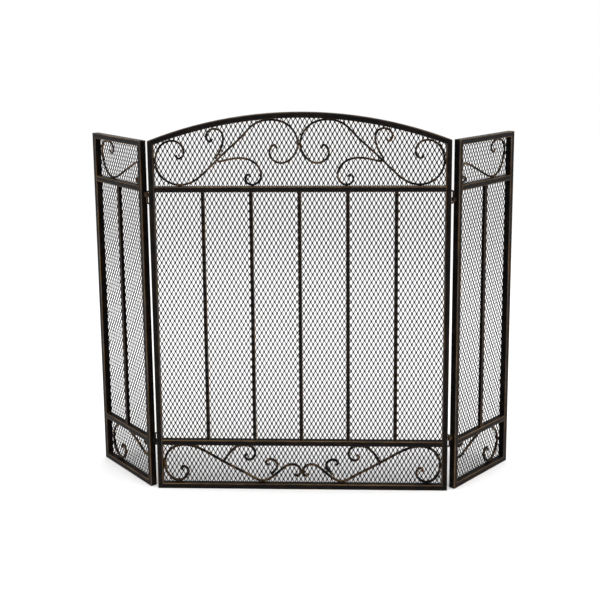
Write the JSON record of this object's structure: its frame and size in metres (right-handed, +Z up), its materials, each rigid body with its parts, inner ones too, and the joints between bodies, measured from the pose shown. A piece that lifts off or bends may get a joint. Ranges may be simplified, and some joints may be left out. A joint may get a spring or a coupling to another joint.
{
  "type": "fireplace screen",
  "caption": "Folding fireplace screen: an arched centre panel and two hinged wings, of steel tube with scrollwork, upright bars and diamond expanded metal.",
  "frame": {"origin": "middle of the underside of the centre panel's bottom rail, on the floor, at the panel's mid depth", "axes": "+X to the right along the centre panel, +Y back towards the fire, +Z up"},
  "size_m": [0.9406, 0.1746, 0.8304],
  "materials": {
    "frame_tube": "satin black rubbed with antique copper along the edges",
    "square_bar": "satin black rubbed with antique copper",
    "scroll_rod": "satin black rubbed with antique copper",
    "expanded_metal": "satin black",
    "hinge_iron": "satin black worn to brown where it rubs"
  },
  "bodies": {
    "centre_panel": {"centre_arched_top_rail": "frame_tube", "centre_bottom_rail": "frame_tube", "centre_left_bottom_large_branch": "scroll_rod", "centre_left_bottom_main_scroll": "scroll_rod", "centre_left_bottom_small_branch": "scroll_rod", "centre_left_stile": "frame_tube", "centre_left_top_lower_branch": "scroll_rod", "centre_left_top_main_scroll": "scroll_rod", "centre_left_top_upper_branch": "scroll_rod", "centre_lower_crossbar": "frame_tube", "centre_mesh": "expanded_metal", "centre_right_bottom_large_branch": "scroll_rod", "centre_right_bottom_main_scroll": "scroll_rod", "centre_right_bottom_small_branch": "scroll_rod", "centre_right_stile": "frame_tube", "centre_right_top_lower_branch": "scroll_rod", "centre_right_top_main_scroll": "scroll_rod", "centre_right_top_upper_branch": "scroll_rod", "centre_upper_crossbar": "frame_tube", "centre_upright_bar_1": "square_bar", "centre_upright_bar_2": "square_bar", "centre_upright_bar_3": "square_bar", "centre_upright_bar_4": "square_bar", "centre_upright_bar_5": "square_bar", "left_lower_hinge_staple": "hinge_iron", "left_upper_hinge_staple": "hinge_iron", "right_lower_hinge_staple": "hinge_iron", "right_upper_hinge_staple": "hinge_iron"},
    "left_wing": {"left_wing_bottom_rail": "frame_tube", "left_wing_bottom_scroll": "scroll_rod", "left_wing_hinge_stile": "frame_tube", "left_wing_lower_crossbar": "frame_tube", "left_wing_lower_hinge_eye": "hinge_iron", "left_wing_mesh": "expanded_metal", "left_wing_outer_stile": "frame_tube", "left_wing_top_rail": "frame_tube", "left_wing_top_scroll": "scroll_rod", "left_wing_upper_crossbar": "frame_tube", "left_wing_upper_hinge_eye": "hinge_iron", "left_wing_upright_bar": "square_bar"},
    "right_wing": {"right_wing_bottom_rail": "frame_tube", "right_wing_bottom_scroll": "scroll_rod", "right_wing_hinge_stile": "frame_tube", "right_wing_lower_crossbar": "frame_tube", "right_wing_lower_hinge_eye": "hinge_iron", "right_wing_mesh": "expanded_metal", "right_wing_outer_stile": "frame_tube", "right_wing_top_rail": "frame_tube", "right_wing_top_scroll": "scroll_rod", "right_wing_upper_crossbar": "frame_tube", "right_wing_upper_hinge_eye": "hinge_iron", "right_wing_upright_bar": "square_bar"}
  },
  "joints": [
    {"name": "left_wing_fold", "type": "hinge", "parent": "centre_panel", "child": "left_wing", "pos_m": [-0.3217, 0, 0.382], "axis": [0, 0, -1], "range_deg": [-144, 46]},
    {"name": "right_wing_fold", "type": "hinge", "parent": "centre_panel", "child": "right_wing", "pos_m": [0.3217, 0, 0.382], "axis": [0, 0, 1], "range_deg": [-144, 46]}
  ]
}
